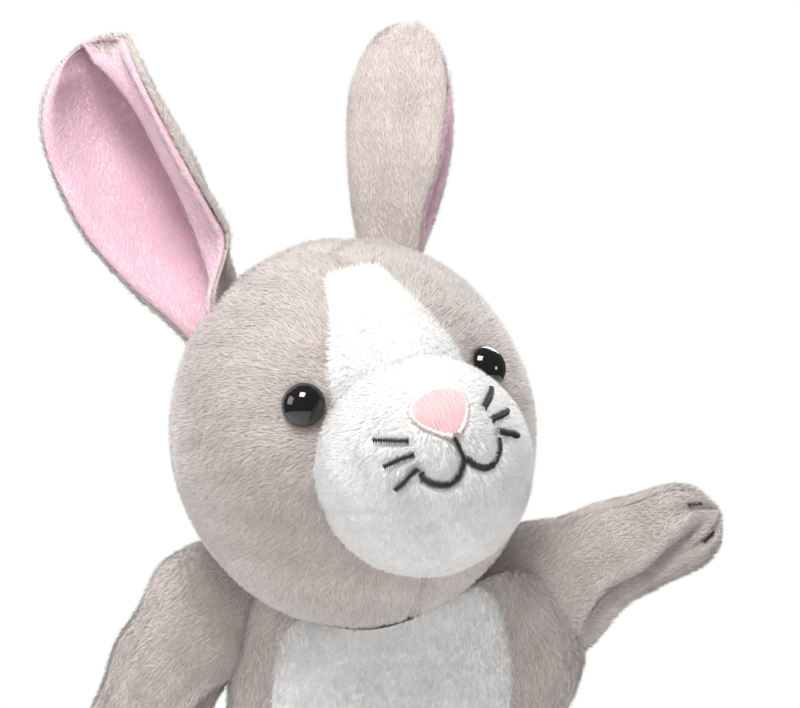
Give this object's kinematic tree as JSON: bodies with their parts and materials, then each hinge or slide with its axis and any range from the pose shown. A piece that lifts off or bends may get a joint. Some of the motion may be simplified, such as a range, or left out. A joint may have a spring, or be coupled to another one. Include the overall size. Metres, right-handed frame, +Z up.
{
  "type": "rabbit glove puppet",
  "caption": "Plush rabbit glove puppet with stuffed head and muzzle, folded ears, finger-sleeve arms and an open hem, standing on its hem.",
  "frame": {"origin": "on the hem's flat underside, in the middle of its front edge: the mount hem_underside", "axes": "+Z up through the body to the ears; the tummy faces -Y; +X is towards the puppet's own left hand"},
  "size_m": [0.196, 0.1281, 0.2973],
  "materials": {
    "arm_left_back": "short grey plush",
    "arm_left_front": "short grey plush",
    "arm_right_back": "short grey plush",
    "arm_right_front": "short grey plush",
    "armhole_binding_left": "woven lining",
    "armhole_binding_right": "woven lining",
    "body_back_left": "short grey plush",
    "body_back_right": "short grey plush",
    "body_front_left": "short grey plush",
    "body_front_right": "short grey plush",
    "ear_lining_left": "short pink plush",
    "ear_lining_right": "short pink plush",
    "ear_outer_left": "short grey plush",
    "ear_outer_right": "short grey plush",
    "eye_left": "glossy",
    "eye_right": "glossy",
    "eye_washer_left": "plain",
    "eye_washer_right": "plain",
    "finger_sleeve": "woven lining",
    "forehead_blaze": "short white plush",
    "head_back_panel": "short grey plush",
    "head_panel_left": "short grey plush",
    "head_panel_right": "short grey plush",
    "head_stuffing": "polyester fibre filling",
    "hem_allowance": "short grey plush",
    "mouth_stitch": "satin stitch thread",
    "muzzle_cover": "short white plush",
    "muzzle_stuffing": "polyester fibre filling",
    "neck_collar": "short grey plush",
    "nose_border": "satin stitch thread",
    "nose_pad": "satin stitch thread",
    "philtrum_stitch": "satin stitch thread",
    "toe_stitch_left_1": "satin stitch thread",
    "toe_stitch_left_2": "satin stitch thread",
    "toe_stitch_right_1": "satin stitch thread",
    "toe_stitch_right_2": "satin stitch thread",
    "tummy_patch": "short white plush",
    "whisker_left_1": "satin stitch thread",
    "whisker_left_2": "satin stitch thread",
    "whisker_left_3": "satin stitch thread",
    "whisker_right_1": "satin stitch thread",
    "whisker_right_2": "satin stitch thread",
    "whisker_right_3": "satin stitch thread"
  },
  "bodies": {
    "glove": {"tummy_patch": "tummy_patch", "body_front_right": "body_front_right", "body_front_left": "body_front_left", "body_back_left": "body_back_left", "body_back_right": "body_back_right", "hem_allowance": "hem_allowance"},
    "neck": {"neck_collar": "neck_collar"},
    "ear_right": {"ear_outer_right": "ear_outer_right", "ear_lining_right": "ear_lining_right"},
    "ear_left": {"ear_outer_left": "ear_outer_left", "ear_lining_left": "ear_lining_left"},
    "armhole_right": {"armhole_binding_right": "armhole_binding_right"},
    "armhole_left": {"armhole_binding_left": "armhole_binding_left"},
    "arm_right": {"arm_right_back": "arm_right_back", "arm_right_front": "arm_right_front", "toe_stitch_right_1": "toe_stitch_right_1", "toe_stitch_right_2": "toe_stitch_right_2"},
    "arm_left": {"arm_left_back": "arm_left_back", "arm_left_front": "arm_left_front", "toe_stitch_left_1": "toe_stitch_left_1", "toe_stitch_left_2": "toe_stitch_left_2"},
    "head": {"eye_left": "eye_left", "eye_right": "eye_right", "eye_washer_left": "eye_washer_left", "eye_washer_right": "eye_washer_right", "finger_sleeve": "finger_sleeve", "forehead_blaze": "forehead_blaze", "head_back_panel": "head_back_panel", "head_panel_left": "head_panel_left", "head_panel_right": "head_panel_right", "head_stuffing": "head_stuffing", "mouth_stitch": "mouth_stitch", "muzzle_cover": "muzzle_cover", "muzzle_stuffing": "muzzle_stuffing", "nose_border": "nose_border", "nose_pad": "nose_pad", "philtrum_stitch": "philtrum_stitch", "whisker_left_1": "whisker_left_1", "whisker_left_2": "whisker_left_2", "whisker_left_3": "whisker_left_3", "whisker_right_1": "whisker_right_1", "whisker_right_2": "whisker_right_2", "whisker_right_3": "whisker_right_3"}
  },
  "joints": [
    {"name": "head_nod", "type": "hinge", "parent": "glove", "child": "neck", "pos_m": [-0.00267, 0.01766, 0.13766], "axis": [1, 0, 0], "range_deg": [-8, 15]},
    {"name": "head_turn", "type": "hinge", "parent": "neck", "child": "head", "pos_m": [-0.00267, 0.01766, 0.13766], "axis": [-0.2181, 0, 0.9759], "range_deg": [-12, 18]},
    {"name": "ear_right_flop", "type": "hinge", "parent": "head", "child": "ear_right", "pos_m": [-0.05208, 0.00743, 0.21415], "axis": [0.6242, -0.6814, 0.3823], "range_deg": [0, 40], "stiffness_Nm_per_rad": 0.01, "springref_deg": -5.73},
    {"name": "arm_right_raise", "type": "hinge", "parent": "glove", "child": "armhole_right", "pos_m": [-0.04, 0.0369, 0.13], "axis": [0, 1, 0], "range_deg": [0, 38]},
    {"name": "arm_right_sweep", "type": "hinge", "parent": "armhole_right", "child": "arm_right", "pos_m": [-0.04, 0.0369, 0.13], "axis": [0, 0, 1], "range_deg": [-15, 22]},
    {"name": "ear_left_flop", "type": "hinge", "parent": "head", "child": "ear_left", "pos_m": [0.00994, 0.02696, 0.22738], "axis": [0.0585, 0.951, -0.3036], "range_deg": [0, 40], "stiffness_Nm_per_rad": 0.01, "springref_deg": -5.73},
    {"name": "arm_left_raise", "type": "hinge", "parent": "glove", "child": "armhole_left", "pos_m": [0.04, 0.0369, 0.13], "axis": [0, -1, 0], "range_deg": [-60, 20]},
    {"name": "arm_left_sweep", "type": "hinge", "parent": "armhole_left", "child": "arm_left", "pos_m": [0.04, 0.0369, 0.13], "axis": [0, 0, -1], "range_deg": [-15, 38]}
  ]
}
